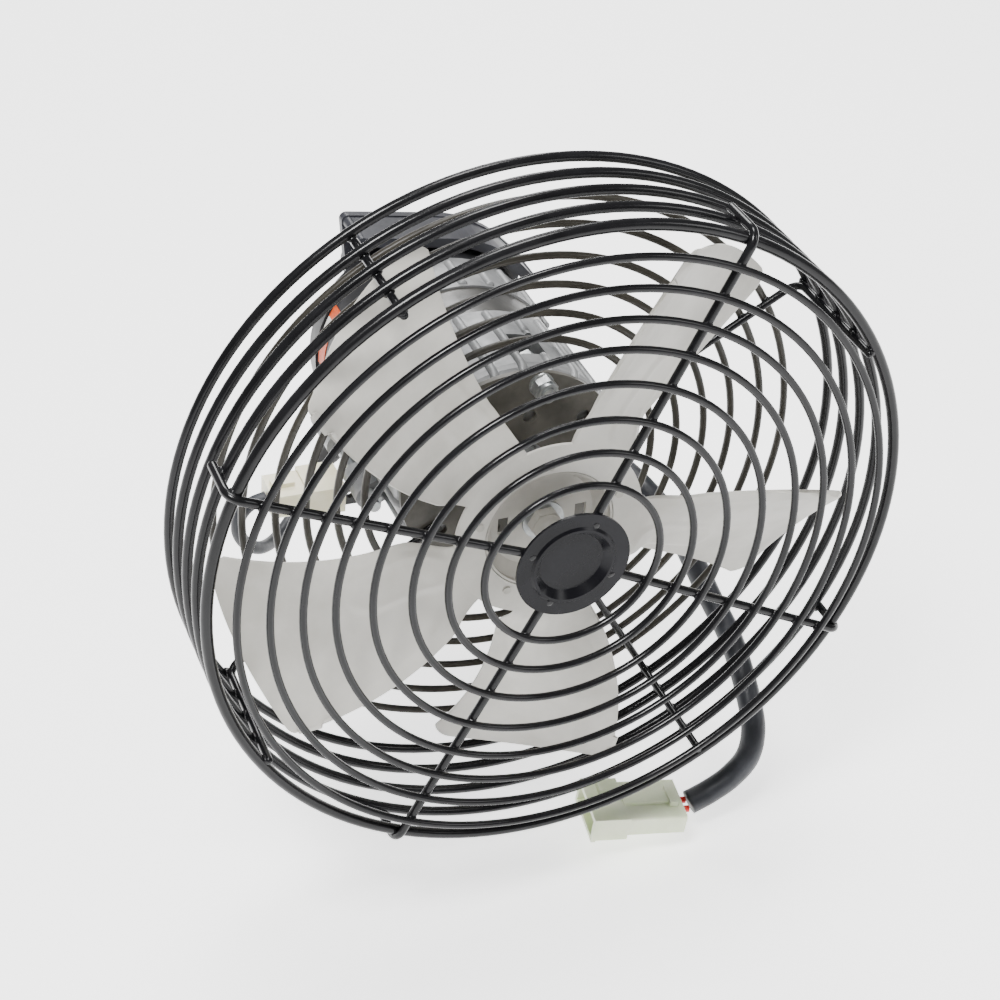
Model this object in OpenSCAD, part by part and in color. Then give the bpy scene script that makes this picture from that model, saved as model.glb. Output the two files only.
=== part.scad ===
/* [Guard] */
// Radius of the side rings, measured to the middle of the wire
side_ring_r = 148; // [146:0.5:150]
// Number of rings that make the side of the guard
side_ring_count = 5; // [4:1:6]
// Distance from one side ring to the next
side_ring_pitch = 14; // [13:0.5:14]
// Radius of the thick wire of the foremost side ring
rim_wire_r = 2.4; // [2.2:0.1:2.5]
// Radius of the wire of the other side rings
side_wire_r = 2.1; // [1.8:0.1:2.2]
// Radius of the wire of the rings in the front and rear faces
face_wire_r = 1.6; // [1.4:0.1:1.7]
// Radius of the wire of the front spokes
front_spoke_r = 1.9; // [1.8:0.1:2]
// Radius of the wire of the rear spokes
rear_spoke_r = 1.7; // [1.6:0.1:1.8]
// Angle of the first front spoke from +X towards +Z
front_spoke_angle = -31; // [-45:1:0]
// Angle of the first rear spoke from +X towards +Z
rear_spoke_angle = 27; // [20:1:40]

/* [Fan] */
// Number of blades
blade_count = 5; // [3:1:6]
// Radius of the blade tips
blade_tip_r = 134; // [120:1:136]
// Thickness of the blade sheet
blade_t = 1.5; // [1.2:0.1:1.8]
// Angle of the first blade's middle from +X towards +Z
blade_angle = -18; // [-36:1:36]

/* [Motor] */
// Radius of the ribbed motor housings
motor_r = 50; // [49.5:0.1:50.5]
// Number of cooling ribs round the motor
rib_count = 24; // [12:4:36]
// Radius of the motor shaft
shaft_r = 4; // [3.9:0.05:4.1]

/* [Bracket] */
// Pitch circle diameter of the mounting holes
mount_pcd = 76; // [74:1:78]
// Radius of each mounting hole
mount_hole_r = 3.3; // [3.1:0.1:3.6]

/* [Wiring] */
// Radius of the sleeve of the main harness
sleeve_r = 5.8; // [5:0.1:6]
// Radius of the short lead between motor and socket
lead_r = 3; // [2.5:0.1:3.2]

/* [Hidden] */
$fn = 48;

// Depths are counted backwards from the foremost side ring; the bracket's back face is y = 0.
back_face_d = 200;

// Guard depths
weld = 0.9;
spoke_face_d = -(rim_wire_r + front_spoke_r - weld);
front_ring_d = spoke_face_d - front_spoke_r - face_wire_r + weld;
last_side_d = (side_ring_count - 1) * side_ring_pitch;
plate_front_d = 59.8;
plate_t = 2.4;
plate_r = 49.5;
rear_spoke_d = plate_front_d - rear_spoke_r + 0.1;
rear_ring_d = rear_spoke_d + rear_spoke_r + face_wire_r - weld;
front_ring_radii = [38, 53, 68, 84, 99, 112, 125, 138];
rear_ring_radii = [65, 77, 90, 103, 117, 129];
guard_disc_r = 24.5;
front_spoke_turns = [0, 92.5, 184, 270];
spoke_bend_r = 6;
front_spoke_out_r = side_ring_r + rim_wire_r + front_spoke_r - 0.6;
rear_spoke_out_r = side_ring_r - side_wire_r - rear_spoke_r + 0.6;

// Fan depths: a is the blade's forward edge, b the trailing edge, from root to tip
spider_d = 19;
spider_t = 1.8;
spider_r = 41.5;
spider_bore_r = 28.2;
cup_floor_r = 24;
cup_floor_d = 28;
cup_t = 1.6;
root_a_d = 18;
tip_a_d = 10;
root_b_d = 34.5;
tip_b_d = 49.4;
blade_root_r = 36;
corner_a_r = 3;
corner_b_r = 6;

// Motor depths
front_wall_d = plate_front_d + plate_t + 0.1;
front_housing_end_d = 110;
rear_housing_d = 132;
rear_housing_end_d = 160;
cover_end_d = 180;
bracket_d = 180.6;
bracket_web_t = 4;
bearing_w = 7;
bearing_out_r = 11;
front_bearing_d = 61;
rear_bearing_d = 151.5;
bolt_circle_r = 44;
bolt_angle = 73;
through_r = 56.8;
through_angles = [201, -19];
bracket_angle = 60;

// Route of the main harness: X, depth and Z of each point
harness_route = [[54.8, 171, -54.8], [61, 169.5, -60.8], [67.5, 164.5, -64.5], [74, 155.5, -66.3],
                 [79.5, 143, -66.8], [84, 126, -66], [88, 111, -68], [94, 100, -76], [101, 94, -89],
                 [106, 87, -103], [109, 75, -115], [111, 60, -124], [110, 45, -131],
                 [108, 31, -139], [106, 20, -149], [101, 14, -160], [92, 13, -169.5],
                 [81.5, 13, -175.3], [71, 12.6, -178.2]];
// Route of the short lead
lead_route = [[-51.4, 171, -57.1], [-56.5, 169.5, -62.6], [-63.5, 163.5, -67], [-72.5, 152, -69],
              [-84.5, 137, -67], [-95, 125, -60.5], [-102.8, 119.5, -51.5], [-106, 118, -42.5],
              [-104.3, 118, -34.8], [-99.3, 118, -29.8], [-92, 118, -28.2]];
plug_start = [67.6, 13, -179.4];
plug_tilt = 9;
plug_yaw = -9;

// ---------- helpers ----------

// Puts children on the fan axis at a depth, their +Z pointing to the front
module at_depth(d) translate([0, d - back_face_d, 0]) rotate([90, 0, 0]) children();

// A disc or tube that fills the depths from d_front to d_back
module ring_part(d_front, d_back, r_out, r_in = 0) {
    at_depth(d_back) difference() {
        cylinder(h = d_back - d_front, r = r_out);
        if (r_in > 0) translate([0, 0, -1]) cylinder(h = d_back - d_front + 2, r = r_in);
    }
}

// A wire ring about the fan axis
module wire_ring(d, r, wire) {
    at_depth(d) rotate_extrude($fn = 96) translate([r, 0]) circle(r = wire, $fn = 20);
}

// Copies children round the fan axis, starting at an angle, at a radius and a depth
module around(count, start, r, d) {
    for (i = [0 : count - 1])
        at_depth(d) rotate([0, 0, start + i * 360 / count]) translate([r, 0, 0]) children();
}

// A wire that runs outwards, turns through a quarter circle and runs on along +Z or -Z
module bent_wire(r_in, r_out, length, wire, way) {
    scale_z = way > 0 ? 0 : 1;
    mirror([0, 0, scale_z]) {
        translate([r_in, 0, 0]) rotate([0, 90, 0])
            cylinder(h = r_out - spoke_bend_r - r_in, r = wire, $fn = 20);
        translate([r_out - spoke_bend_r, 0, spoke_bend_r]) rotate([90, 0, 0]) rotate([0, 0, -90])
            rotate_extrude(angle = 90, $fn = 64) translate([spoke_bend_r, 0]) circle(r = wire, $fn = 20);
        translate([r_out, 0, spoke_bend_r]) cylinder(h = length - spoke_bend_r, r = wire, $fn = 20);
        translate([r_out, 0, length]) sphere(r = wire, $fn = 20);
    }
}

// A hexagon bolt: head at z = 0 to -head, shank from 0 upwards
module hex_bolt(r, length, head_r, head) {
    translate([0, 0, -head]) cylinder(h = head, r = head_r, $fn = 6);
    cylinder(h = length, r = r, $fn = 24);
}

function mix(a, b, t) = a + (b - a) * t;
function unit(v) = v / norm(v);
function in_row(p) = [p[0], p[1] - back_face_d, p[2]];

// Point t (0 to 1) between p[i] and p[i + 1] on a smooth curve through the points
function smooth_point(p, i, t) =
    let (n = len(p) - 1, a = p[max(i - 1, 0)], b = p[i], c = p[min(i + 1, n)], e = p[min(i + 2, n)])
    0.5 * (2 * b + (c - a) * t + (2 * a - 5 * b + 4 * c - e) * t * t
           + (3 * b - a - 3 * c + e) * t * t * t);
function smooth_path(p, steps) =
    [for (i = [0 : len(p) - 2]) for (s = [0 : steps - 1]) smooth_point(p, i, s / steps), p[len(p) - 1]];
function tangent(p, i) = unit(p[min(i + 1, len(p) - 1)] - p[max(i - 1, 0)]);

// A round tube swept along a route, closed at both ends
module swept_tube(route, r, sides, steps, reference) {
    path = smooth_path([for (q = route) in_row(q)], steps);
    count = len(path);
    points = [for (i = [0 : count - 1])
                  let (t = tangent(path, i), n = unit(cross(t, reference)), b = cross(t, n))
                  for (k = [0 : sides - 1])
                      path[i] + r * (cos(360 * k / sides) * n + sin(360 * k / sides) * b)];
    walls = [for (i = [0 : count - 2]) for (k = [0 : sides - 1])
                 let (a = i * sides + k, b = i * sides + (k + 1) % sides)
                 [a, b, b + sides, a + sides]];
    polyhedron(points = points, convexity = 10,
               faces = concat(walls, [[for (k = [sides - 1 : -1 : 0]) k]],
                              [[for (k = [0 : sides - 1]) (count - 1) * sides + k]]));
}

// ---------- guard ----------

module front_guard_rings() color([0.13, 0.13, 0.14])
    for (r = front_ring_radii) wire_ring(front_ring_d, r, face_wire_r);

module front_guard_spokes() color([0.13, 0.13, 0.14])
    for (turn = front_spoke_turns) around(1, front_spoke_angle + turn, 0, spoke_face_d)
        bent_wire(15, front_spoke_out_r, side_ring_pitch + front_spoke_r + 6, front_spoke_r, -1);

module front_guard_disc() color([0.12, 0.12, 0.13]) {
    flange_d = spoke_face_d - front_spoke_r + 0.1;
    at_depth(flange_d) rotate_extrude($fn = 96) polygon([
        [0, -2.2], [14.5, -2.2], [16.5, 0], [guard_disc_r, 0], [guard_disc_r, 1.2],
        [18.6, 1.2], [17.6, 2.2], [16.4, 2.2], [13.6, -1], [0, -1]]);
}

module guard_side_rings() color([0.13, 0.13, 0.14]) {
    wire_ring(0, side_ring_r, rim_wire_r);
    for (i = [1 : side_ring_count - 1]) wire_ring(i * side_ring_pitch, side_ring_r, side_wire_r);
}

module rear_guard_spokes() color([0.16, 0.16, 0.15])
    around(4, rear_spoke_angle, 0, rear_spoke_d)
        bent_wire(37, rear_spoke_out_r, rear_spoke_d + 1, rear_spoke_r, 1);

module rear_guard_rings() color([0.2, 0.19, 0.17])
    for (r = rear_ring_radii) wire_ring(rear_ring_d, r, face_wire_r);

module rear_guard_plate() color([0.27, 0.26, 0.23]) difference() {
    ring_part(plate_front_d, plate_front_d + plate_t, plate_r, 16.5);
    around(4, bolt_angle, bolt_circle_r, plate_front_d + 10) cylinder(h = 20, r = 3.3);
    around(4, bolt_angle, 28, plate_front_d + 10) cylinder(h = 20, r = 3);
    around(4, bolt_angle - 40, 38.5, plate_front_d + 10) cylinder(h = 20, r = 3);
}

// ---------- fan ----------

// Half widths of the blade at the forward edge (a) and the trailing edge (b), u from root to tip
function edge_a(u) = mix(14, 28, u) + 25 * u * (1 - u);
function edge_b(u) = mix(-15, -40.5, u) + 22 * u * (1 - u);
// How far the rounded corners pull the tip in, v from 0 at edge a to 1 at edge b
function corner_pull(s, r) = s > 1 ? 0 : r * (1 - sqrt(1 - (1 - s) * (1 - s)));
function tip_pull(v) = corner_pull(v * 70 / corner_a_r, corner_a_r)
                     + corner_pull((1 - v) * 70 / corner_b_r, corner_b_r);
// How far the twist has grown from the flat spider outwards
function twist(u) = u < 0.04 ? 0 : u > 0.26 ? 1 : pow((u - 0.04) / 0.22, 2) * (3 - 2 * (u - 0.04) / 0.22);
function blade_depth(u, v) =
    let (full = mix(mix(root_a_d, tip_a_d, u), mix(root_b_d, tip_b_d, u), v)
                + 26 * v * (1 - v) * u - 25 * u * (1 - u))
    mix(spider_d, full, twist(u));
function blade_point(u, v, side) =
    let (y = mix(edge_a(u), edge_b(u), v), r = mix(blade_root_r, blade_tip_r - tip_pull(v), u))
    [sqrt(r * r - y * y), y, spider_d - blade_depth(u, v) + side * blade_t / 2];

module blade() {
    v_steps = [0, 0.01, 0.03, 0.07, 0.2, 0.35, 0.5, 0.65, 0.8, 0.87, 0.92, 0.96, 0.985, 1];
    u_steps = [0, 0.05, 0.1, 0.15, 0.2, 0.26, 0.4, 0.6, 0.8, 1];
    nu = len(u_steps);
    nv = len(v_steps);
    sheet = nu * nv;
    points = [for (side = [1, -1]) for (u = u_steps) for (v = v_steps) blade_point(u, v, side)];
    top = [for (i = [0 : nu - 2]) for (k = [0 : nv - 2])
               let (a = i * nv + k) [a, a + nv, a + nv + 1, a + 1]];
    bottom = [for (f = top) [f[3] + sheet, f[2] + sheet, f[1] + sheet, f[0] + sheet]];
    ends = [for (k = [0 : nv - 2]) for (i = [0, nu - 1])
                let (a = i * nv + k)
                i == 0 ? [a + 1, a + 1 + sheet, a + sheet, a] : [a, a + sheet, a + 1 + sheet, a + 1]];
    sides = [for (i = [0 : nu - 2]) for (k = [0, nv - 1])
                 let (a = i * nv + k)
                 k == 0 ? [a, a + sheet, a + nv + sheet, a + nv] : [a + nv, a + nv + sheet, a + sheet, a]];
    polyhedron(points = points, faces = concat(top, bottom, ends, sides), convexity = 6);
}

module fan_blades() color([0.82, 0.81, 0.78]) {
    ring_part(spider_d - spider_t / 2, spider_d + spider_t / 2, spider_r, spider_bore_r);
    around(blade_count, blade_angle, 0, spider_d) blade();
}

// The pressed dish that carries the blades on the shaft, its flange behind the spider
module fan_hub_cup() color([0.76, 0.74, 0.69]) difference() {
    at_depth(cup_floor_d) rotate_extrude($fn = 96) {
        back = cup_floor_d - spider_d - spider_t / 2 - 0.05;
        lip = spider_bore_r - 0.2;
        polygon([[shaft_r + 0.05, 0], [cup_floor_r, 0], [lip + 0.6, back - 1.2], [36, back - 1.2],
                 [36, back], [lip, back], [lip, back + spider_t - 0.1], [lip - 1, back + spider_t - 0.1],
                 [lip - 1, back - 0.5], [cup_floor_r - 1.4, cup_t], [shaft_r + 0.05, cup_t]]);
    }
    around(2, blade_angle + 15, 17.5, cup_floor_d + 3) translate([-3, -4, 0]) cube([5, 8, 8]);
}

module fan_hub_collar() color([0.6, 0.6, 0.6])
    ring_part(cup_floor_d + 0.05, cup_floor_d + 17, 12, shaft_r + 0.05);

module fan_rivets() color([0.7, 0.7, 0.68])
    around(blade_count, blade_angle + 36, 32, spider_d - spider_t / 2 - 0.05) cylinder(h = 0.7, r = 1.7, $fn = 20);

module fan_washer() color([0.75, 0.76, 0.78])
    ring_part(cup_floor_d - cup_t - 1.6, cup_floor_d - cup_t - 0.05, 9, shaft_r + 0.05);

// A closed nut with a rounded top
module fan_nut() color([0.74, 0.75, 0.77]) difference() {
    at_depth(cup_floor_d - cup_t - 1.65) {
        cylinder(h = 4.4, r = 7.2, $fn = 6);
        rotate_extrude() polygon([[0, 0], [6, 0], [6, 5.6], [5.6, 7.4], [4.4, 9], [2.4, 10], [0, 10.3]]);
    }
    at_depth(cup_floor_d) cylinder(h = 10.5, r = shaft_r + 0.05);
}

// ---------- motor, turning parts ----------

module motor_shaft() color([0.72, 0.72, 0.74]) {
    ring_part(18, 160.5, shaft_r);
    ring_part(70.1, 81, 6.5);
    ring_part(150.6, 151.4, 6.5);
}

module shaft_seal() color([0.1, 0.1, 0.1])
    ring_part(54.6, 58.6, 8.9, shaft_r + 0.08);

module bearing_rings(r_out, r_in) {
    for (d = [front_bearing_d, rear_bearing_d]) ring_part(d, d + bearing_w, r_out, r_in);
}

module bearing_outer_rings() color([0.7, 0.71, 0.73]) difference() {
    bearing_rings(bearing_out_r, 9.1);
    bearing_races();
}

module bearing_inner_rings() color([0.7, 0.71, 0.73]) difference() {
    bearing_rings(6, shaft_r + 0.03);
    bearing_races();
}

// The groove that the balls run in
module bearing_races() for (d = [front_bearing_d, rear_bearing_d])
    at_depth(d + bearing_w / 2) rotate_extrude() translate([7.55, 0]) circle(r = 2.05, $fn = 24);

module bearing_balls() color([0.8, 0.8, 0.82]) for (d = [front_bearing_d, rear_bearing_d])
    around(7, 0, 7.55, d + bearing_w / 2) sphere(r = 1.95, $fn = 24);

module armature_core() color([0.45, 0.45, 0.47]) difference() {
    ring_part(98, 130, 30.5, shaft_r + 0.05);
    around(12, 0, 27.5, 131) translate([-3.5, -2.6, 0]) cube([5.5, 5.2, 34]);
    around(12, 0, 29.5, 131) translate([-2, -1, 0]) cube([5, 2, 34]);
}

module armature_windings() color([0.72, 0.4, 0.2]) {
    ring_part(84, 97.8, 26, 12);
    ring_part(130.2, 137.5, 26, 12);
    around(12, 0, 26.7, 130.2) translate([-2.2, -2.1, 0]) cube([4.2, 4.2, 32.4]);
}

module commutator() color([0.75, 0.45, 0.25]) difference() {
    ring_part(137.7, 149.5, 12, shaft_r + 0.05);
    around(12, 15, 12, 150) translate([-1.2, -0.4, 0]) cube([3, 0.8, 11]);
}

// ---------- motor, fixed parts ----------

module brush_plate() color([0.45, 0.28, 0.16]) ring_part(147, 149.4, 45.6, 14.5);

module brush_boxes() color([0.78, 0.66, 0.32]) around(4, 35, 0, 146.9) difference() {
    translate([15, -4.8, 0]) cube([17, 9.6, 9.4]);
    translate([14, -3.6, 1.2]) cube([19, 7.2, 7]);
}

module brushes() color([0.2, 0.2, 0.21]) around(4, 35, 0, 146.9)
    translate([12.3, -3.5, 1.3]) cube([13, 7, 6.8]);

// Flat springs that press the brushes inwards
module brush_springs() color([0.7, 0.7, 0.72]) around(4, 35, 0, 144.5)
    for (step = [0 : 2]) translate([25.5 + 2.1 * step, -2.4, 0]) {
        cube([0.5, 4.8, 4]);
        translate([0, step % 2 == 0 ? 1.9 : -2.4, 0])
            translate([0, step % 2 == 0 ? 0 : 2.4, 0]) cube([2.1, 0.5, 4]);
    }

module field_magnets() color([0.3, 0.3, 0.31]) intersection() {
    ring_part(98, 130, 41.8, 31.4);
    for (i = [0 : 3]) at_depth(132) rotate([0, 0, 12 + i * 90]) rotate_extrude(angle = 66)
        translate([20, 0]) square([30, 40]);
}

module motor_yoke() color([0.33, 0.33, 0.31]) {
    ring_part(94, rear_housing_d + 8, 45.8, 42);
    ring_part(front_housing_end_d + 0.05, rear_housing_d - 0.05, motor_r - 1, 45.7);
}

// Long rounded cooling ribs, and the lugs that the through bolts pull together
module housing_outside(d_front, d_back, rib_front, rib_back, lug_front, lug_back) {
    at_depth(d_back) rotate_extrude($fn = 96)
        let (long = d_back - d_front)
        polygon([[0, 0], [motor_r, 0], [motor_r, long - 5], [motor_r - 0.7, long - 2.5],
                 [motor_r - 2.3, long - 0.8], [motor_r - 4.5, long], [0, long]]);
    around(rib_count, 7, motor_r - 0.3, rib_back) cylinder(h = rib_back - rib_front, r = 1.7, $fn = 10);
    for (a = through_angles) around(1, a, 0, lug_back) {
        translate([through_r, 0, 0]) cylinder(h = lug_back - lug_front, r = 6);
        translate([motor_r - 8, -6, 0]) cube([through_r - motor_r + 8, 12, lug_back - lug_front]);
    }
}

module front_housing() color([0.74, 0.75, 0.77]) difference() {
    union() {
        housing_outside(front_wall_d, front_housing_end_d, 67, front_housing_end_d - 3, 92, front_housing_end_d);
        ring_part(52, front_wall_d + 4, 14.5);
    }
    ring_part(92, 112, 46);
    ring_part(72, 93, 33.5);
    ring_part(50, 73, shaft_r + 3);
    ring_part(front_bearing_d, 73, bearing_out_r + 0.02);
    ring_part(51, 59, 9);
    around(4, bolt_angle, 0, 90) translate([bolt_circle_r - 7.5, -8, 0]) cube([20, 16, 16]);
    around(4, bolt_angle, bolt_circle_r, 80) cylinder(h = 30, r = 3.3);
    for (a = through_angles) around(1, a, through_r, 112) cylinder(h = 40, r = 2.8);
}

module rear_housing() color([0.74, 0.75, 0.77]) difference() {
    union() {
        ring_part(rear_housing_d, rear_housing_end_d - 3, motor_r);
        around(rib_count, 7, motor_r - 0.3, rear_housing_end_d - 8)
            cylinder(h = rear_housing_end_d - rear_housing_d - 10, r = 1.7, $fn = 10);
        for (a = through_angles) around(1, a, 0, 157) {
            translate([through_r, 0, 0]) cylinder(h = 24, r = 6);
            translate([motor_r - 8, -6, 0]) cube([through_r - motor_r + 8, 12, 24]);
        }
    }
    ring_part(rear_housing_d - 1, 150, 46);
    ring_part(140, 162, shaft_r + 3);
    ring_part(149, rear_bearing_d + bearing_w, bearing_out_r + 0.02);
    for (a = through_angles) around(1, a, through_r, 160) cylinder(h = 40, r = 2.8);
    around(3, bracket_angle + 90, 32, 160) cylinder(h = 12, r = 2.6);
    around(rib_count / 2, 0, motor_r, 160) translate([-3, -3.4, 0]) cube([6, 6.8, 7]);
}

// The black cover behind the rear housing, with teeth that fill the housing's notches
module rear_cover() color([0.11, 0.11, 0.12]) difference() {
    union() {
        ring_part(rear_housing_end_d - 2.95, cover_end_d, motor_r);
        around(rib_count / 2, 0, motor_r, 160) translate([-2.9, -3.2, 0]) cube([3.6, 6.4, 6.8]);
        ring_part(cover_end_d - 10, cover_end_d - 1.5, motor_r + 1.4);
    }
    ring_part(rear_housing_end_d - 4, cover_end_d - 3, motor_r - 3);
    around(3, bracket_angle + 90, 32, cover_end_d + 1) cylinder(h = 30, r = 5.6);
    for (a = [-45, 228]) around(1, a, 0, 171) rotate([0, 90, 0]) cylinder(h = 60, r = 5.2);
}

module through_bolts() color([0.72, 0.75, 0.78]) for (a = through_angles) around(1, a, through_r, 171.1)
    hex_bolt(2.6, 171.1 - 84, 4.6, 4);

module through_bolt_spacers() color([0.75, 0.78, 0.8]) for (a = through_angles) around(1, a, through_r, 171)
    difference() {
        cylinder(h = 13.9, r = 4.4);
        translate([0, 0, -1]) cylinder(h = 16, r = 2.8);
    }

module through_bolt_nuts() color([0.72, 0.75, 0.78]) for (a = through_angles) around(1, a, through_r, 91.9)
    difference() {
        cylinder(h = 4.5, r = 4.6, $fn = 6);
        translate([0, 0, -1]) cylinder(h = 7, r = 2.65);
    }

module plate_bolts() color([0.68, 0.73, 0.77]) around(4, bolt_angle, bolt_circle_r, 74.1)
    hex_bolt(3, 74.1 - 50.4, 5.7, 4);

module plate_washers() color([0.76, 0.76, 0.74]) around(4, bolt_angle, bolt_circle_r, plate_front_d - 0.05)
    difference() {
        cylinder(h = 1.2, r = 5.4);
        translate([0, 0, -1]) cylinder(h = 4, r = 3.1);
    }

module plate_nuts() color([0.76, 0.75, 0.72]) around(4, bolt_angle, bolt_circle_r, plate_front_d - 1.3)
    difference() {
        union() {
            cylinder(h = 5, r = 5.4, $fn = 6);
            cylinder(h = 7, r = 4.5);
        }
        translate([0, 0, -1]) cylinder(h = 10, r = 3.05);
    }

// ---------- mounting bracket ----------

// The hood over the motor's rear: a flat top, a bend, and a flat side, all at one distance from the axis
hood_out_r = 58;
hood_in_r = 53.6;
hood_front_d = 160;
hood_angles = [78, 37];
hood_lengths = [42, 10];

function hood_edge(r) = concat(
    [r * [cos(hood_angles[0]), sin(hood_angles[0])]
     + hood_lengths[0] * [-sin(hood_angles[0]), cos(hood_angles[0])]],
    [for (i = [0 : 8]) let (a = mix(hood_angles[0], hood_angles[1], i / 8)) r * [cos(a), sin(a)]],
    [r * [cos(hood_angles[1]), sin(hood_angles[1])]
     + hood_lengths[1] * [sin(hood_angles[1]), -cos(hood_angles[1])]]);
function reversed(list) = [for (i = [len(list) - 1 : -1 : 0]) list[i]];

module hood_outline() {
    polygon(concat(hood_edge(hood_out_r), reversed(hood_edge(hood_in_r))));
    mid = hood_edge((hood_out_r + hood_in_r) / 2);
    translate(mid[0]) circle(r = 2.4, $fn = 32);
    translate(mid[len(mid) - 1]) circle(r = 3, $fn = 32);
}

// Feet with the mounting holes
module bracket_feet(r) for (i = [0 : 2]) rotate([0, 0, bracket_angle - 60 + 120 * i])
    translate([mount_pcd / 2, 0, 0]) cylinder(h = back_face_d - bracket_d - 1, r = r);

module mount_bracket() color([0.14, 0.14, 0.15]) at_depth(back_face_d) difference() {
    union() {
        translate([0, 0, back_face_d - bracket_d - bracket_web_t]) linear_extrude(bracket_web_t) hull() {
            offset(r = 0.5) hood_outline();
            for (a = [0, 120, 240]) rotate([0, 0, a]) translate([mount_pcd / 2, 0]) circle(r = 10);
        }
        translate([0, 0, back_face_d - bracket_d - bracket_web_t + 1])
            linear_extrude(bracket_d + bracket_web_t - hood_front_d - 1) hood_outline();
        bracket_feet(9);
        for (i = [0 : 2]) rotate([0, 0, bracket_angle - 60 + 120 * i]) translate([20, -2.5, 5])
            cube([14, 5, back_face_d - bracket_d - 7]);
        translate([0, 0, 4]) difference() {
            cylinder(h = back_face_d - bracket_d - 6, r = 22);
            translate([0, 0, -1]) cylinder(h = back_face_d - bracket_d - 6, r = 18);
        }
    }
    translate([0, 0, -1]) cylinder(h = 40, r = 10);
    for (i = [0 : 2]) rotate([0, 0, bracket_angle - 60 + 120 * i]) translate([mount_pcd / 2, 0, -1])
        cylinder(h = 30, r = mount_hole_r);
    for (i = [0 : 2]) rotate([0, 0, bracket_angle + 120 * i + 90]) translate([32, 0, 0])
        cylinder(h = 30, r = 2.8);
}

module bracket_spacers() color([0.6, 0.6, 0.62]) around(3, bracket_angle + 90, 32, bracket_d - 0.05)
    difference() {
        cylinder(h = bracket_d - 0.1 - (rear_housing_end_d - 3), r = 5);
        translate([0, 0, -1]) cylinder(h = 40, r = 2.8);
    }

module bracket_screws() color([0.72, 0.75, 0.78])
    around(3, bracket_angle + 90, 32, bracket_d + bracket_web_t + 0.05) hex_bolt(2.5, 31, 4.6, 3.6);

module motor_label() color([0.93, 0.5, 0.2]) at_depth(169) rotate([0, 0, 144])
    rotate_extrude(angle = 34, $fn = 96) translate([motor_r + 0.05, 0]) square([0.3, 8]);

// ---------- wiring ----------

module tapered_gland(angle, d, cable_r) around(1, angle, 0, d) rotate([0, 90, 0])
    difference() {
        rotate_extrude() polygon([[0, 44], [5, 44], [5, 51.7], [8.5, 51.7], [8.5, 55],
                                  [7.6, 56], [cable_r + 0.9, 76], [0, 76]]);
        translate([0, 0, 43]) cylinder(h = 35, r = cable_r + 0.1);
    }

module harness_gland() color([0.09, 0.09, 0.1]) difference() {
    tapered_gland(-45, 171, 4.6);
}

module harness_sleeve() color([0.11, 0.11, 0.12])
    swept_tube(harness_route, sleeve_r, 10, 3, [0.6, 0.3, 0.74]);

module harness_wires() color([0.75, 0.12, 0.12]) plug_body_frame()
    for (y = [-3, 3]) translate([2.2, y, 0.6]) rotate([0, -90, 0]) cylinder(h = 8.1, r = 1.6, $fn = 20);

// The housing lies along -X from the end where the wires go in
module plug_body_frame()
    translate(in_row(plug_start)) rotate([0, plug_tilt, 0]) rotate([0, 0, plug_yaw]) children();

module plug_housing() color([0.86, 0.88, 0.76]) plug_body_frame() difference() {
    union() {
        rotate([0, 90, 0]) rotate([0, 0, 90]) translate([0, 0, -30.5]) linear_extrude(28.5)
            offset(r = 1.2, $fn = 20) square([23.8, 8], center = true);
        translate([-47, -14, -6.2]) cube([17, 28, 12.4]);
        translate([-47.4, -14.4, -6.6]) cube([2.2, 28.8, 13.2]);
        translate([-41, 3.5, 5.8]) cube([8, 7, 3.4]);
        translate([-31, -4, 4.8]) cube([26, 8, 2.2]);
        translate([-9, -6, 4.8]) cube([4, 12, 3.2]);
    }
    translate([-48, -12.2, -4.4]) cube([20, 24.4, 8.8]);
    for (y = [-3, 3]) translate([-29, y, 0.6]) rotate([0, 90, 0]) cylinder(h = 30, r = 1.75, $fn = 24);
}

module plug_retainer() color([0.8, 0.84, 0.7]) plug_body_frame() difference() {
    translate([-40, -8, -2.6]) cube([11.9, 16, 5.2]);
    for (y = [-4.5, 4.5]) translate([-41, y - 1.8, -1.2]) cube([14, 3.6, 2.4]);
}

module plug_terminals() color([0.8, 0.72, 0.4]) plug_body_frame()
    for (y = [-4.5, 4.5]) translate([-38, y - 1.6, -0.9]) cube([9.8, 3.2, 1.8]);

module lead_gland() color([0.09, 0.09, 0.1]) tapered_gland(228, 171, lead_r);

module lead_cable() color([0.1, 0.1, 0.11])
    swept_tube(lead_route, lead_r, 8, 3, [0.3, 0.5, 0.81]);

module lead_plug() color([0.9, 0.87, 0.76]) translate(in_row([-92, 118, -28])) rotate([0, 5, 0]) {
    translate([0.35, -9, -5.5]) cube([15.7, 18, 11]);
    translate([2, -2.5, 5.4]) cube([10, 5, 2.2]);
}

module lead_socket() color([0.92, 0.89, 0.79]) translate(in_row([-92, 118, -28])) rotate([0, 5, 0]) {
    translate([16.1, -10.5, -6.6]) cube([17, 21, 13.2]);
}

// The clip that holds the socket on the front housing
module socket_clip() color([0.16, 0.16, 0.16]) translate(in_row([-92, 118, -28])) rotate([0, 5, 0])
    difference() {
        translate([33.2, -8, -5]) cube([9.5, 3, 10]);
        translate([36, -9, 0]) rotate([-90, 0, 0]) cylinder(h = 6, r = 1.6, $fn = 20);
    }

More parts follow.
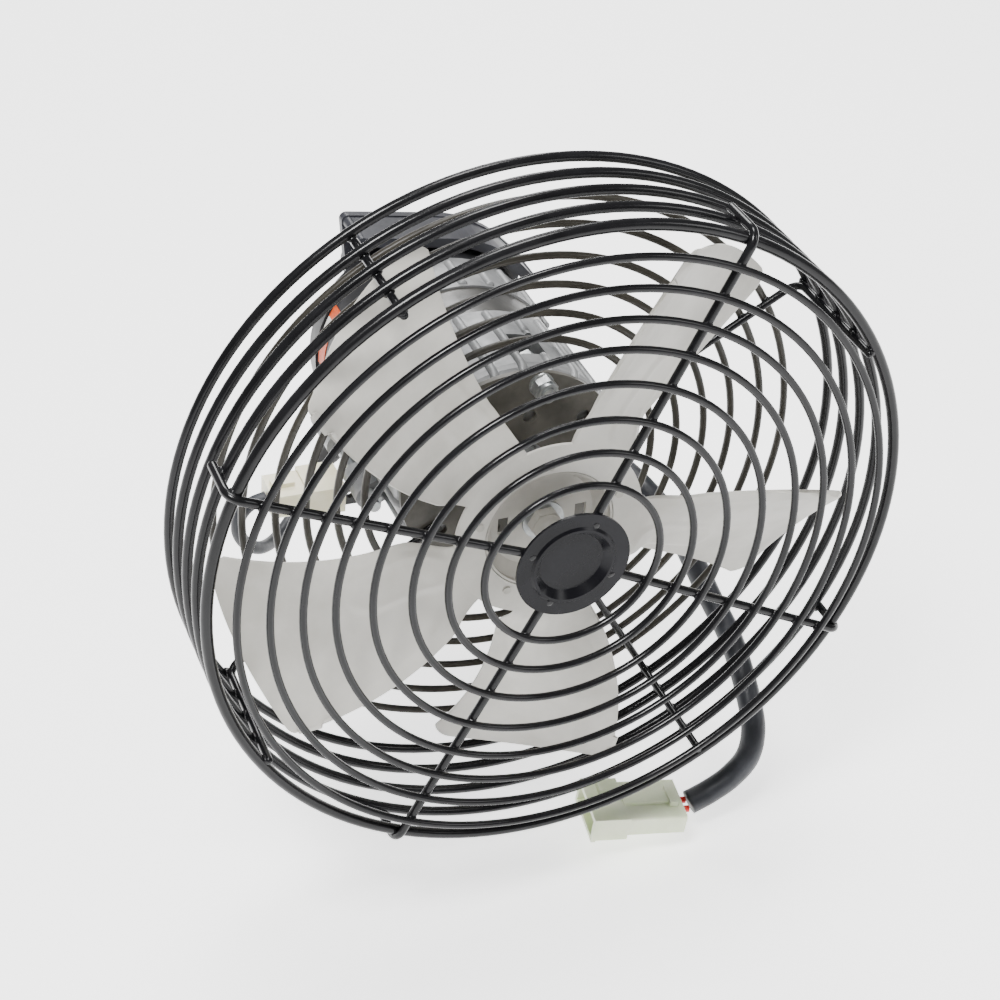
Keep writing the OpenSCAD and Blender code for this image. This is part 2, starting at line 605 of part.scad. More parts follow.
front_guard_rings();
front_guard_spokes();
front_guard_disc();
guard_side_rings();
rear_guard_spokes();
rear_guard_rings();
rear_guard_plate();
fan_blades();
fan_hub_cup();
fan_hub_collar();
fan_rivets();
fan_washer();
fan_nut();
motor_shaft();
shaft_seal();
bearing_outer_rings();
bearing_inner_rings();
bearing_balls();
armature_core();
armature_windings();
commutator();
brush_plate();
brush_boxes();
brushes();
brush_springs();
field_magnets();
motor_yoke();
front_housing();
rear_housing();
rear_cover();
through_bolts();
through_bolt_spacers();
through_bolt_nuts();
plate_bolts();
plate_washers();
plate_nuts();
mount_bracket();
bracket_spacers();
bracket_screws();
motor_label();
harness_gland();
harness_sleeve();
harness_wires();
plug_housing();
plug_retainer();
plug_terminals();
lead_gland();
lead_cable();
lead_plug();
lead_socket();
socket_clip();
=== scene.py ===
"""Looks for the electric cooling fan unit. Metres, +Y to the rear of the fan, +Z up."""
import math
import random

import bmesh
import bpy
from mathutils import Matrix, Vector, noise


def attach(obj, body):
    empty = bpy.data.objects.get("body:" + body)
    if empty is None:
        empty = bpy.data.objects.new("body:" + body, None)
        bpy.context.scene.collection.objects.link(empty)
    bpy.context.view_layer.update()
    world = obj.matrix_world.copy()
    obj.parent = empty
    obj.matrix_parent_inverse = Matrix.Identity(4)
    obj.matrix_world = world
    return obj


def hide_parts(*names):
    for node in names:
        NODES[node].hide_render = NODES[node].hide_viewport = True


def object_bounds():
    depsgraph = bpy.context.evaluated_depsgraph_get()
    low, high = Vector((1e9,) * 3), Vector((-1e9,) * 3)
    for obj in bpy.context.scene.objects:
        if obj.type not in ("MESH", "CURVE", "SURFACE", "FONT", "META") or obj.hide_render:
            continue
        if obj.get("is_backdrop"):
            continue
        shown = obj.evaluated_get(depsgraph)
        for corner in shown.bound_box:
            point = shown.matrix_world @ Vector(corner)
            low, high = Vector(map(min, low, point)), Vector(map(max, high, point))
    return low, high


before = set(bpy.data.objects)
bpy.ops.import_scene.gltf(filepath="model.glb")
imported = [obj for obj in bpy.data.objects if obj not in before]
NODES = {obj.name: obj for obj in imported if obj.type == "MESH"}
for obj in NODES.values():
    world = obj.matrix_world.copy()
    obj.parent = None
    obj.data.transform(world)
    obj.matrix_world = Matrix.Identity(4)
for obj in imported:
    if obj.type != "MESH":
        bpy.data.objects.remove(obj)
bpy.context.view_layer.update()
MM = 0.001
BACK_D = 200.0  # depth of the mounting face behind the foremost side ring


def at(x, depth, z):
    """A point given by X, depth behind the foremost side ring, and Z, all in millimetres."""
    return Vector((x * MM, (depth - BACK_D) * MM, z * MM))


def polar(radius, angle, depth):
    """A point at a radius and an angle from +X towards +Z, seen from the front."""
    a = math.radians(angle)
    return at(radius * math.cos(a), depth, radius * math.sin(a))


# ---------------------------------------------------------------- camera

camera_data = bpy.data.cameras.new("camera")
camera_data.lens = 73.95
camera_data.sensor_width = 36.0
camera_data.clip_start = 0.05
camera = bpy.data.objects.new("camera", camera_data)
bpy.context.scene.collection.objects.link(camera)
camera.location = (-0.2614, -0.7842, 0.5153)
camera.rotation_euler = Vector((0.294, 0.739, -0.606)).to_track_quat("-Z", "Y").to_euler()
bpy.context.scene.camera = camera


# ---------------------------------------------------------------- materials

def new_material(name):
    mat = bpy.data.materials.new(name)
    mat.use_nodes = True
    return mat, mat.node_tree, mat.node_tree.nodes["Principled BSDF"]


def link(tree, a, a_out, b, b_in):
    tree.links.new(a.outputs[a_out], b.inputs[b_in])


def coordinates(tree):
    return tree.nodes.new("ShaderNodeTexCoord")


def noise_node(tree, scale, detail=4.0, roughness=0.55, stretch=None):
    node = tree.nodes.new("ShaderNodeTexNoise")
    node.inputs["Scale"].default_value = scale
    node.inputs["Detail"].default_value = detail
    node.inputs["Roughness"].default_value = roughness
    where = coordinates(tree)
    if stretch:
        mapping = tree.nodes.new("ShaderNodeMapping")
        mapping.inputs["Scale"].default_value = stretch
        link(tree, where, "Object", mapping, "Vector")
        link(tree, mapping, "Vector", node, "Vector")
    else:
        link(tree, where, "Object", node, "Vector")
    return node


def ramp(tree, source, out, stops):
    node = tree.nodes.new("ShaderNodeValToRGB")
    elements = node.color_ramp.elements
    while len(elements) < len(stops):
        elements.new(0.5)
    for element, (place, colour) in zip(elements, stops):
        element.position = place
        element.color = (*colour, 1.0)
    link(tree, source, out, node, "Fac")
    return node


def bumps(tree, shader, layers):
    """Adds up layers of noise bump, each (scale, strength, distance in mm, stretch)."""
    last = None
    for scale, strength, distance, stretch in layers:
        texture = noise_node(tree, scale, 3.0, 0.6, stretch)
        bump = tree.nodes.new("ShaderNodeBump")
        bump.inputs["Strength"].default_value = strength
        bump.inputs["Distance"].default_value = distance * MM
        link(tree, texture, "Fac", bump, "Height")
        if last:
            link(tree, last, "Normal", bump, "Normal")
        last = bump
    if last:
        link(tree, last, "Normal", shader, "Normal")
    return last


def finish_material(name, dark, light, rough, metallic=0.0, patch_scale=35.0, rough_scale=90.0, layers=(),
                    coat=0.0, patch=(0.35, 0.68), stretch=None, sheen=0.0, specular=0.5):
    """Patchy colour between dark and light, patchy roughness, and layers of bump."""
    mat, tree, shader = new_material(name)
    colour = ramp(tree, noise_node(tree, patch_scale, 6.0, 0.6, stretch), "Fac",
                  [(patch[0], dark), (patch[1], light)])
    link(tree, colour, "Color", shader, "Base Color")
    spread = tree.nodes.new("ShaderNodeMapRange")
    spread.inputs["From Min"].default_value = 0.3
    spread.inputs["From Max"].default_value = 0.7
    spread.inputs["To Min"].default_value = rough[0]
    spread.inputs["To Max"].default_value = rough[1]
    link(tree, noise_node(tree, rough_scale, 5.0, 0.65, stretch), "Fac", spread, "Value")
    link(tree, spread, "Result", shader, "Roughness")
    shader.inputs["Metallic"].default_value = metallic
    shader.inputs["Coat Weight"].default_value = coat
    shader.inputs["Coat Roughness"].default_value = 0.08
    shader.inputs["Specular IOR Level"].default_value = specular
    if sheen:
        shader.inputs["Sheen Weight"].default_value = sheen
        shader.inputs["Sheen Roughness"].default_value = 0.4
    bumps(tree, shader, layers)
    return mat


BLACK_WIRE = finish_material("black_gloss_paint", (0.0035, 0.0035, 0.004), (0.008, 0.008, 0.009),
                             (0.15, 0.24), patch_scale=60.0, rough_scale=45.0, specular=0.24,
                             layers=[(220.0, 0.10, 0.2, None), (1400.0, 0.04, 0.04, None)])
# The rear rings are the same black paint as the other wires; this lighter olive-brown copy of it is painted
# light, standing in for how the light falls on them.
REAR_RING_PAINTED_LIGHT = finish_material("black_paint_painted_olive_light", (0.020, 0.018, 0.014), (0.042, 0.038, 0.030),
                            (0.26, 0.40), patch_scale=40.0, rough_scale=45.0, specular=0.3,
                            layers=[(260.0, 0.16, 0.25, None)])
DISC_BLACK = finish_material("pressed_disc_paint", (0.003, 0.003, 0.004), (0.007, 0.007, 0.009),
                             (0.18, 0.27), patch_scale=55.0, specular=0.12,
                             layers=[(420.0, 0.04, 0.06, None), (40.0, 0.05, 0.20, None)])
# The plate is the same black paint as the wires; its lighter olive-grey colour is painted light.
PLATE = finish_material("plate_black_paint_painted_light", (0.046, 0.043, 0.036), (0.082, 0.077, 0.065), (0.36, 0.54),
                        patch_scale=70.0, specular=0.35, layers=[(420.0, 0.2, 0.15, None)])
BRACKET = finish_material("bracket_paint", (0.014, 0.0145, 0.018), (0.030, 0.031, 0.038), (0.34, 0.5),
                          patch_scale=45.0, specular=0.35, layers=[(350.0, 0.25, 0.2, None)])
BLADE = finish_material("blade_off_white", (0.44, 0.425, 0.385), (0.60, 0.585, 0.54), (0.34, 0.50),
                        patch_scale=16.0, rough_scale=60.0, patch=(0.38, 0.62), specular=0.4,
                        layers=[(900.0, 0.10, 0.08, None), (38.0, 0.12, 0.8, None)])
# A darker, warmer copy of the blade paint for the hub cup, nut and rivets: painted shade for the recessed
# dish.
CUP_PAINTED_SHADE = finish_material("cup_grey_painted_shade", (0.36, 0.345, 0.305), (0.48, 0.462, 0.415), (0.36, 0.50),
                      patch_scale=40.0, specular=0.4, layers=[(700.0, 0.12, 0.1, None)])
CASTING = finish_material("cast_aluminium", (0.14, 0.143, 0.145), (0.29, 0.293, 0.295), (0.38, 0.58),
                          metallic=0.35, patch_scale=55.0, rough_scale=160.0,
                          layers=[(130.0, 0.35, 0.5, None), (700.0, 0.3, 0.2, None),
                                  (1500.0, 0.25, 0.08, None)])
DARK_STEEL = finish_material("dark_oiled_steel", (0.018, 0.018, 0.017), (0.050, 0.047, 0.040), (0.28, 0.48),
                             patch_scale=50.0, coat=0.15, layers=[(300.0, 0.15, 0.2, None)])
ZINC = finish_material("zinc_plating", (0.26, 0.275, 0.285), (0.46, 0.465, 0.45), (0.30, 0.46), metallic=0.85,
                       patch_scale=160.0, rough_scale=200.0, layers=[(900.0, 0.18, 0.06, None)])
GROUND = finish_material("ground_steel", (0.50, 0.50, 0.52), (0.70, 0.70, 0.72), (0.14, 0.26), metallic=1.0,
                         patch_scale=90.0, layers=[(1200.0, 0.1, 0.04, (1.0, 0.04, 1.0))])
CORE = finish_material("core_sheets", (0.16, 0.16, 0.17), (0.34, 0.34, 0.36), (0.35, 0.5), metallic=0.9,
                       patch_scale=900.0, stretch=(0.02, 1.0, 0.02),
                       layers=[(1500.0, 0.5, 0.1, (0.02, 1.0, 0.02))])
COPPER = finish_material("enamelled_copper", (0.42, 0.16, 0.05), (0.80, 0.42, 0.20), (0.2, 0.35),
                         metallic=0.9, patch_scale=420.0, stretch=(1.0, 0.15, 1.0),
                         layers=[(900.0, 0.5, 0.3, (1.0, 0.15, 1.0))])
COMMUTATOR = finish_material("copper_bars", (0.50, 0.24, 0.10), (0.78, 0.45, 0.26), (0.22, 0.4), metallic=1.0,
                             patch_scale=120.0, layers=[(800.0, 0.3, 0.08, (1.0, 1.0, 0.1))])
BRASS = finish_material("brass", (0.52, 0.38, 0.14), (0.78, 0.62, 0.30), (0.2, 0.36), metallic=1.0,
                        patch_scale=130.0, layers=[(700.0, 0.2, 0.08, None)])
CARBON = finish_material("carbon", (0.012, 0.012, 0.013), (0.04, 0.04, 0.042), (0.45, 0.65),
                         patch_scale=400.0, layers=[(1400.0, 0.4, 0.1, None)])
FERRITE = finish_material("ferrite", (0.03, 0.03, 0.032), (0.07, 0.07, 0.07), (0.4, 0.6), patch_scale=150.0,
                          layers=[(900.0, 0.4, 0.12, None)])
BOARD = finish_material("brown_board", (0.14, 0.065, 0.025), (0.26, 0.13, 0.055), (0.35, 0.5),
                        patch_scale=220.0, stretch=(1.0, 1.0, 0.12),
                        layers=[(600.0, 0.2, 0.1, (1.0, 1.0, 0.1))])
BLACK_PLASTIC = finish_material("moulded_black", (0.010, 0.010, 0.011), (0.026, 0.026, 0.028), (0.32, 0.5),
                                patch_scale=50.0, layers=[(1100.0, 0.35, 0.08, None)])
RUBBER = finish_material("rubber", (0.010, 0.010, 0.010), (0.028, 0.027, 0.026), (0.5, 0.72),
                         patch_scale=70.0, sheen=0.15, layers=[(800.0, 0.3, 0.12, None)])
SLEEVE = finish_material("vinyl_sleeve", (0.010, 0.011, 0.014), (0.026, 0.028, 0.034), (0.36, 0.54),
                         patch_scale=60.0, specular=0.35,
                         layers=[(150.0, 0.35, 0.6, None), (900.0, 0.3, 0.1, None)])
RED = finish_material("red_insulation", (0.42, 0.012, 0.012), (0.62, 0.03, 0.02), (0.28, 0.42),
                      patch_scale=120.0, layers=[(600.0, 0.15, 0.08, None)])


def cream_nylon(name, dark, light):
    mat = finish_material(name, dark, light, (0.30, 0.46), patch_scale=45.0,
                          layers=[(500.0, 0.12, 0.1, None), (60.0, 0.15, 0.5, None)])
    shader = mat.node_tree.nodes["Principled BSDF"]
    shader.inputs["Subsurface Weight"].default_value = 0.35
    shader.inputs["Subsurface Radius"].default_value = (0.004, 0.005, 0.003)
    shader.inputs["Subsurface Scale"].default_value = 1.0
    return mat


GREEN_NYLON = cream_nylon("plug_nylon", (0.60, 0.66, 0.46), (0.74, 0.77, 0.60))
CREAM_NYLON = cream_nylon("socket_nylon", (0.62, 0.57, 0.40), (0.76, 0.72, 0.55))


BAND_HEIGHT = 0.0205
BAND_HALF_WIDTH = 0.0039


def label_material():
    """A blank sticker: orange with one pale band across it."""
    mat, tree, shader = new_material("blank_sticker")
    split = tree.nodes.new("ShaderNodeSeparateXYZ")
    link(tree, coordinates(tree), "Object", split, "Vector")
    band = tree.nodes.new("ShaderNodeMapRange")
    band.inputs["From Min"].default_value = BAND_HALF_WIDTH - 0.0001
    band.inputs["From Max"].default_value = BAND_HALF_WIDTH + 0.0001
    away = tree.nodes.new("ShaderNodeMath")
    away.operation = "SUBTRACT"
    away.inputs[1].default_value = BAND_HEIGHT
    link(tree, split, "Z", away, 0)
    distance = tree.nodes.new("ShaderNodeMath")
    distance.operation = "ABSOLUTE"
    link(tree, away, "Value", distance, 0)
    link(tree, distance, "Value", band, "Value")
    mix = tree.nodes.new("ShaderNodeMix")
    mix.data_type = "RGBA"
    mix.inputs["A"].default_value = (0.62, 0.60, 0.56, 1.0)
    mix.inputs["B"].default_value = (0.50, 0.060, 0.004, 1.0)
    link(tree, band, "Result", mix, "Factor")
    worn = ramp(tree, noise_node(tree, 300.0), "Fac", [(0.25, (0.82, 0.82, 0.82)), (0.5, (1.0, 1.0, 1.0))])
    tone = tree.nodes.new("ShaderNodeMix")
    tone.data_type = "RGBA"
    tone.blend_type = "MULTIPLY"
    tone.inputs["Factor"].default_value = 1.0
    link(tree, mix, "Result", tone, "A")
    link(tree, worn, "Color", tone, "B")
    link(tree, tone, "Result", shader, "Base Color")
    shader.inputs["Roughness"].default_value = 0.45
    bumps(tree, shader, [(700.0, 0.15, 0.05, None)])
    return mat


LABEL = label_material()

NODE_LOOKS = {
    BLACK_WIRE: ["front_guard_rings", "front_guard_spokes", "guard_side_rings", "rear_guard_spokes"],
    REAR_RING_PAINTED_LIGHT: ["rear_guard_rings"],
    DISC_BLACK: ["front_guard_disc"],
    PLATE: ["rear_guard_plate"],
    BRACKET: ["mount_bracket"],
    BLADE: ["fan_blades"],
    CUP_PAINTED_SHADE: ["fan_hub_cup", "fan_nut", "fan_rivets"],
    CASTING: ["front_housing", "rear_housing"],
    DARK_STEEL: ["motor_yoke"],
    ZINC: ["fan_washer", "through_bolts", "through_bolt_spacers", "through_bolt_nuts",
           "plate_bolts", "plate_washers", "plate_nuts", "bracket_spacers", "bracket_screws"],
    GROUND: ["motor_shaft", "bearing_outer_rings", "bearing_inner_rings", "bearing_balls", "fan_hub_collar",
             "brush_springs"],
    CORE: ["armature_core"],
    COPPER: ["armature_windings"],
    COMMUTATOR: ["commutator"],
    BRASS: ["brush_boxes", "plug_terminals"],
    CARBON: ["brushes"],
    FERRITE: ["field_magnets"],
    BOARD: ["brush_plate"],
    BLACK_PLASTIC: ["rear_cover", "socket_clip"],
    RUBBER: ["shaft_seal", "harness_gland", "lead_gland"],
    SLEEVE: ["harness_sleeve", "lead_cable"],
    RED: ["harness_wires"],
    GREEN_NYLON: ["plug_housing", "plug_retainer"],
    CREAM_NYLON: ["lead_plug", "lead_socket"],
    LABEL: ["motor_label"],
}
for look, names in NODE_LOOKS.items():
    for name in names:
        node = NODES[name]
        if not node.material_slots:
            node.data.materials.append(look)
        for slot in node.material_slots:
            slot.material = look


# ---------------------------------------------------------------- making pieces

def piece(name, bm, look, body="housing", smooth=True):
    """Turns a bmesh into a piece with a material that rides on a body."""
    mesh = bpy.data.meshes.new(name)
    bmesh.ops.recalc_face_normals(bm, faces=bm.faces)
    bm.to_mesh(mesh)
    bm.free()
    if smooth:
        mesh.polygons.foreach_set("use_smooth", [True] * len(mesh.polygons))
    obj = bpy.data.objects.new(name, mesh)
    bpy.context.scene.collection.objects.link(obj)
    mesh.materials.append(look)
    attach(obj, body)
    return obj


def smooth_path(points, steps):
    """The same smooth curve through the points that the solid sleeves follow."""
    n = len(points) - 1
    out = []
    for i in range(n):
        a, b, c, e = (points[max(i - 1, 0)], points[i], points[min(i + 1, n)], points[min(i + 2, n)])
        for s in range(steps):
            t = s / steps
            out.append(0.5 * (2 * b + (c - a) * t + (2 * a - 5 * b + 4 * c - e) * t * t
                              + (3 * b - a - 3 * c + e) * t * t * t))
    out.append(points[n])
    return out


def tube(bm, path, radius, sides, ripple=None):
    """Sweeps a round tube along a path. ripple(s) scales the radius at a length along it."""
    rings = []
    along = 0.0
    up = Vector((0.6, 0.3, 0.74)).normalized()
    for i, p in enumerate(path):
        if i:
            along += (p - path[i - 1]).length
        t = (path[min(i + 1, len(path) - 1)] - path[max(i - 1, 0)]).normalized()
        n = t.cross(up).normalized()
        up = n.cross(t).normalized()
        r = radius * (ripple(along) if ripple else 1.0)
        rings.append([bm.verts.new(p + r * (math.cos(k) * n + math.sin(k) * up))
                      for k in (2 * math.pi * j / sides for j in range(sides))])
    for a, b in zip(rings, rings[1:]):
        for j in range(sides):
            bm.faces.new((a[j], a[(j + 1) % sides], b[(j + 1) % sides], b[j]))
    bm.faces.new(rings[0][::-1])
    bm.faces.new(rings[-1])
    return along


# ---------------------------------------------------------------- cords

HARNESS_ROUTE = [(54.8, 171, -54.8), (61, 169.5, -60.8), (67.5, 164.5, -64.5), (74, 155.5, -66.3),
                 (79.5, 143, -66.8), (84, 126, -66), (88, 111, -68), (94, 100, -76), (101, 94, -89),
                 (106, 87, -103), (109, 75, -115), (111, 60, -124), (110, 45, -131), (108, 31, -139),
                 (106, 20, -149), (101, 14, -160), (92, 13, -169.5), (81.5, 13, -175.3), (71, 12.6, -178.2)]
LEAD_ROUTE = [(-51.4, 171, -57.1), (-56.5, 169.5, -62.6), (-63.5, 163.5, -67), (-72.5, 152, -69),
              (-84.5, 137, -67), (-95, 125, -60.5), (-102.8, 119.5, -51.5), (-106, 118, -42.5),
              (-104.3, 118, -34.8), (-99.3, 118, -29.8), (-92, 118, -28.2)]


def make_cord(name, route, radius, body_node, wrinkle):
    path = smooth_path([at(*p) for p in route], 8)
    bm = bmesh.new()
    tube(bm, path, radius, 28, wrinkle)
    obj = piece(name, bm, SLEEVE)
    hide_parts(body_node)


def sleeve_wrinkle(s):
    """Slight folds along the loose sleeve."""
    return 0.985 + 0.012 * math.sin(s * 900.0) * noise.noise(Vector((s * 60.0, 0.0, 0.0)))


HARNESS_R = 5.8 * MM
LEAD_R = 3.0 * MM
make_cord("harness_sleeve_piece", HARNESS_ROUTE, HARNESS_R, "harness_sleeve",
          sleeve_wrinkle)
make_cord("short_lead_piece", LEAD_ROUTE, LEAD_R, "lead_cable", None)


# ---------------------------------------------------------------- fan

BLADE_COUNT = 5
BLADE_ANGLE = -18.0
TIP_R = 134.0
ROOT_R = 36.0
SPIDER_D = 19.0
BLADE_T = 1.5


def mix(a, b, t):
    return a + (b - a) * t


def smooth_step(a, b, x):
    t = min(1.0, max(0.0, (x - a) / (b - a)))
    return t * t * (3 - 2 * t)


def corner_pull(s, r):
    return 0.0 if s > 1 else r * (1 - math.sqrt(max(0.0, 1 - (1 - s) ** 2)))


def edges(u):
    """Half widths of the blade at its forward and trailing edges."""
    return mix(14, 28, u) + 25 * u * (1 - u), mix(-15, -40.5, u) + 22 * u * (1 - u)


def blade_point(u, v):
    """Place on the middle of the blade sheet: u from root to tip, v from leading to trailing edge."""
    a, b = edges(u)
    y = mix(a, b, v)
    r = mix(ROOT_R, TIP_R - corner_pull(v * 70 / 3, 3) - corner_pull((1 - v) * 70 / 6, 6), u)
    full = (mix(mix(18, 10, u), mix(34.5, 49.4, u), v) + 26 * v * (1 - v) * u - 25 * u * (1 - u))
    depth = mix(SPIDER_D, full, smooth_step(0.04, 0.26, u))
    return Vector((math.sqrt(r * r - y * y), y, SPIDER_D - depth))


def pressed(u, v):
    """Height of the pressed shape: a long raised tongue near the root and a forward edge bent back."""
    a, b = edges(u)
    along = u * (TIP_R - ROOT_R)
    across = (v - 0.70) * (a - b)
    far = Vector((max(0.0, along - 43.0, 14.0 - along), across)).length
    tongue = 1.0 * smooth_step(-1.5, 1.5, 8.0 - far) - 0.35 * smooth_step(-1.5, 1.5, 5.6 - far)
    from_edge = v * (a - b)
    bend = -0.28 * (5.0 - from_edge) if from_edge < 5.0 else 0.0
    return tongue + bend * smooth_step(0.1, 0.35, u)


def fan_sheet():
    bm = bmesh.new()
    nu, nv = 64, 84
    across = [0.5 - 0.5 * math.cos(math.pi * j / nv) for j in range(nv + 1)]
    for k in range(BLADE_COUNT):
        turn = Matrix.Rotation(math.radians(BLADE_ANGLE + 72 * k), 3, "Z")
        side_grids = []
        grid = [[blade_point(i / nu, v) for v in across] for i in range(nu + 1)]
        for side in (1, -1):
            verts = []
            for i in range(nu + 1):
                row = []
                for j in range(nv + 1):
                    p = grid[i][j]
                    du = grid[min(i + 1, nu)][j] - grid[max(i - 1, 0)][j]
                    dv = grid[i][min(j + 1, nv)] - grid[i][max(j - 1, 0)]
                    normal = dv.cross(du).normalized()
                    if normal.z < 0:
                        normal.negate()
                    edge = min(j, nv - j, nu - i)
                    half = BLADE_T / 2 * (0.55 if edge == 0 else 0.9 if edge == 1 else 1.0)
                    q = p + normal * (side * half + pressed(i / nu, across[j]))
                    q = turn @ q
                    row.append(bm.verts.new(at(q.x, SPIDER_D - q.z, q.y)))
                verts.append(row)
            side_grids.append(verts)
            for i in range(nu):
                for j in range(nv):
                    bm.faces.new((verts[i][j], verts[i + 1][j], verts[i + 1][j + 1], verts[i][j + 1]))
        top, bottom = side_grids
        rim = ([(i, 0) for i in range(nu + 1)] + [(nu, j) for j in range(1, nv + 1)]
               + [(i, nv) for i in range(nu - 1, -1, -1)] + [(0, j) for j in range(nv - 1, 0, -1)])
        for (i, j), (m, n) in zip(rim, rim[1:] + rim[:1]):
            bm.faces.new((top[i][j], top[m][n], bottom[m][n], bottom[i][j]))
    # the flat spider that joins the blades, with rolled edges
    profile = [(28.3, 0.9), (40.8, 0.9), (41.35, 0.7), (41.5, 0.0), (41.35, -0.7), (40.8, -0.9), (28.3, -0.9)]
    count = 144
    rings = [[bm.verts.new(polar(r, 360.0 * s / count, SPIDER_D - h)) for s in range(count)]
             for r, h in profile]
    for a, b in zip(rings, rings[1:] + rings[:1]):
        for s in range(count):
            bm.faces.new((a[s], a[(s + 1) % count], b[(s + 1) % count], b[s]))
    obj = piece("fan_sheet", bm, BLADE, body="rotor")
    edge_split(obj, 35)
    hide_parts("fan_blades")
    return obj


def edge_split(obj, degrees):
    """Keeps edges sharper than this from shading smoothly."""
    bm = bmesh.new()
    bm.from_mesh(obj.data)
    limit = math.radians(degrees)
    sharp = [e for e in bm.edges if len(e.link_faces) == 2 and e.calc_face_angle(0.0) > limit]
    bmesh.ops.split_edges(bm, edges=sharp)
    bm.to_mesh(obj.data)
    bm.free()


fan_sheet()


# ---------------------------------------------------------------- weld nuggets on the guard

FRONT_RINGS = [38, 53, 68, 84, 99, 112, 125, 138]
REAR_RINGS = [65, 77, 90, 103, 117, 129]
SIDE_DEPTHS = [0, 14, 28, 42, 56]
FRONT_SPOKES = [-31.0, 61.5, 153.0, 239.0]
SPOKE_D = -3.4
FRONT_RING_D = -6.0
REAR_SPOKE_D = 58.2
REAR_RING_D = 60.6
SIDE_RING_R = 150.0
REAR_SPOKE_R = 145.8
REAR_SPOKE_ANGLE = 27
FRONT_WELD_D = (SPOKE_D * 1.9 + FRONT_RING_D * 1.6) / 3.5 + 0.2


def nugget(bm, centre, across, radial, size, rng):
    """A squashed, uneven lump of weld metal. across and radial are its long directions."""
    a = across.normalized()
    b = radial.normalized()
    c = a.cross(b).normalized()
    made = bmesh.ops.create_icosphere(bm, subdivisions=3, radius=1.0)
    seed = Vector((rng.random() * 50, rng.random() * 50, rng.random() * 50))
    for v in made["verts"]:
        n = v.co.normalized()
        wobble = 1.0 + 0.22 * noise.noise(n * 1.6 + seed)
        v.co = centre + (a * n.x * size[0] + b * n.y * size[1] + c * n.z * size[2]) * wobble * MM


def guard_welds():
    rng = random.Random(7)
    bm = bmesh.new()
    fan_axis = Vector((0, 1, 0))
    for k in range(4):
        angle = FRONT_SPOKES[k]
        radial = polar(1, angle, BACK_D)
        tangent = fan_axis.cross(radial)
        for r in FRONT_RINGS:
            nugget(bm, polar(r, angle, FRONT_WELD_D), tangent, radial, (2.3, 2.3, 1.5), rng)
        for d in SIDE_DEPTHS[:2]:
            nugget(bm, polar(SIDE_RING_R, angle, d), tangent, fan_axis, (2.6, 2.6, 1.6), rng)
        angle = REAR_SPOKE_ANGLE + 90 * k
        radial = polar(1, angle, BACK_D)
        tangent = fan_axis.cross(radial)
        for d in SIDE_DEPTHS:
            nugget(bm, polar(REAR_SPOKE_R, angle, d), tangent, fan_axis, (2.4, 2.4, 1.5), rng)
        for r in REAR_RINGS:
            spot = polar(r, angle, (REAR_SPOKE_D + REAR_RING_D) / 2)
            nugget(bm, spot, tangent, radial, (2.2, 2.2, 1.5), rng)
        nugget(bm, polar(42, angle, 59.3), radial, tangent, (5.0, 2.4, 1.0), rng)
        # where the front spokes end under the disc, the weld shows through as a small dimple
        nugget(bm, polar(19.5, FRONT_SPOKES[k], -6.2), radial, tangent, (1.7, 1.4, 0.55), rng)
    piece("guard_welds", bm, BLACK_WIRE)


guard_welds()


# ---------------------------------------------------------------- castings

RIB_COUNT = 24
RIB_TOP_R = 49.65
RIB_SIDES = 14
RIB_START_ANGLE = 7
POCKET_RIB_ANGLE = 67  # the ribs at this angle and each quarter turn on meet a pocket


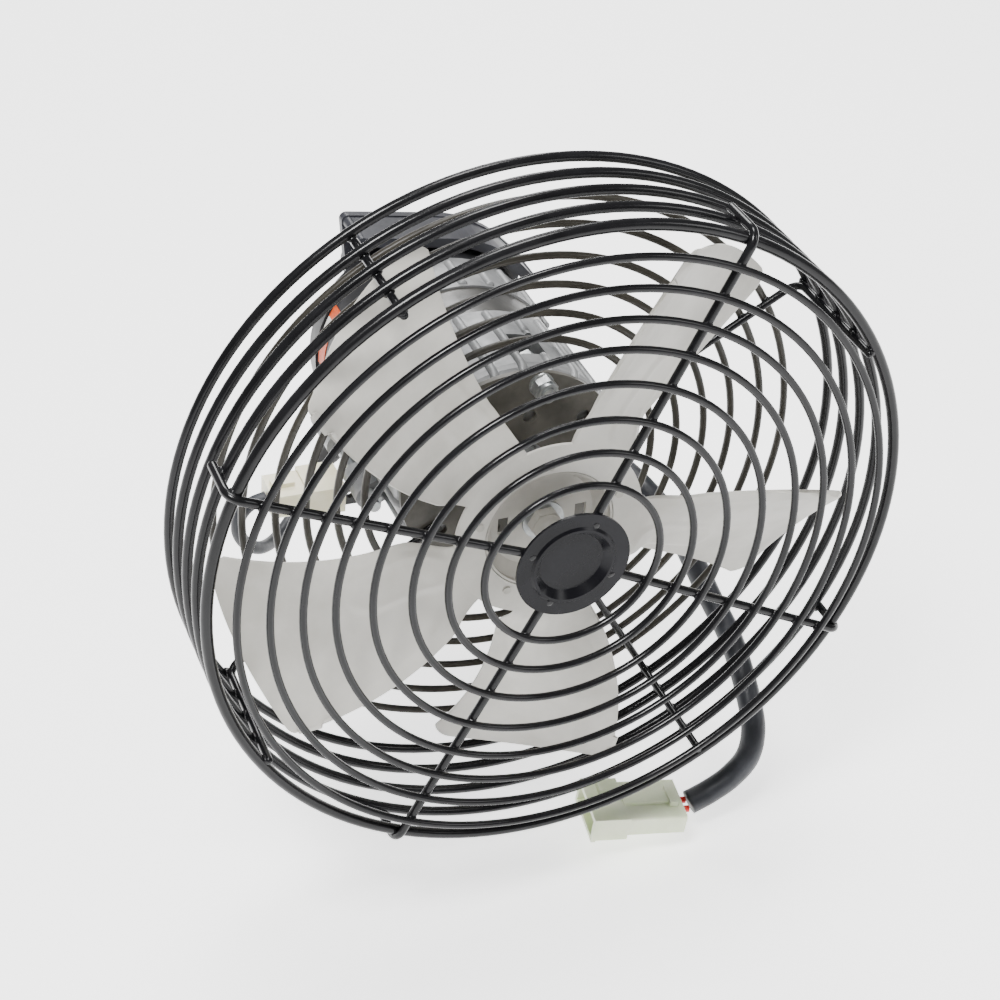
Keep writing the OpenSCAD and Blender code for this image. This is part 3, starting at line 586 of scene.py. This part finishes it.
def casting_ribs():
    """Rounded beads over the housings' ribs, the front ones running down the shoulder to the plate."""
    bm = bmesh.new()
    rng = random.Random(11)
    front = [(45.2, 62.75), (46.9, 63.2), (48.4, 64.3), (49.35, 66.0), (RIB_TOP_R, 69.0)]
    for k in range(RIB_COUNT):
        angle = RIB_START_ANGLE + 360.0 * k / RIB_COUNT
        wide = 2.05 + 0.12 * rng.random()
        if (angle - POCKET_RIB_ANGLE) % 90 == 0:  # stops at the pocket for a bolt head
            lines = [front + [(RIB_TOP_R, 71.5)], [(RIB_TOP_R, d) for d in (92.5, 100, 106.4, 107.6)]]
        else:
            lines = [front + [(RIB_TOP_R, d) for d in (78, 90, 100, 106.4, 107.6)]]
        for line in lines:
            tube(bm, [polar(r, angle, d) for r, d in line], wide * MM, RIB_SIDES)
        rear = [(RIB_TOP_R, d) for d in (133.6, 134.2, 140, 146, 151.6, 152.2)]
        tube(bm, [polar(r, angle, d) for r, d in rear], wide * MM, RIB_SIDES)
    piece("casting_ribs", bm, CASTING)


casting_ribs()


# ---------------------------------------------------------------- floor and light

def area_light(name, place, aim, power, size):
    data = bpy.data.lights.new(name, "AREA")
    data.energy = power
    data.shape = "RECTANGLE"
    data.size, data.size_y = size
    obj = bpy.data.objects.new(name, data)
    bpy.context.scene.collection.objects.link(obj)
    obj.location = place
    obj.rotation_euler = (Vector(aim) - Vector(place)).to_track_quat("-Z", "Y").to_euler()


FLOOR_GAP = 0.012
UNIT_MIDDLE = (0, -0.1, 0)
FAN_MIDDLE = (0, -0.12, 0)


def floor():
    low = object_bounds()[0][2]
    bm = bmesh.new()
    bmesh.ops.create_grid(bm, x_segments=4, y_segments=4, size=6.0)
    mesh = bpy.data.meshes.new("floor")
    bm.to_mesh(mesh)
    bm.free()
    obj = bpy.data.objects.new("floor", mesh)
    obj.location.z = low - FLOOR_GAP
    bpy.context.scene.collection.objects.link(obj)
    look = finish_material("pale_floor", (0.93, 0.93, 0.93), (0.95, 0.95, 0.95), (0.75, 0.85),
                           patch_scale=2.0)
    shader = look.node_tree.nodes["Principled BSDF"]
    shader.inputs["Emission Color"].default_value = (1.0, 1.0, 1.0, 1.0)
    shader.inputs["Emission Strength"].default_value = 1.5
    mesh.materials.append(look)
    obj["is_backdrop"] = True


floor()
area_light("key", (-0.7, -0.8, 1.7), FAN_MIDDLE, 58, (0.5, 0.5))
area_light("fill", (1.4, -1.1, 0.9), FAN_MIDDLE, 7, (0.5, 0.7))
area_light("back", (0.5, 1.5, 1.4), UNIT_MIDDLE, 30, (0.9, 0.6))
area_light("top", (0.2, 0.2, 2.3), UNIT_MIDDLE, 46, (0.7, 0.7))
world = bpy.data.worlds.new("studio")
world.use_nodes = True
world.node_tree.nodes["Background"].inputs["Color"].default_value = (1.0, 1.0, 1.0, 1.0)
world.node_tree.nodes["Background"].inputs["Strength"].default_value = 0.36
bpy.context.scene.world = world
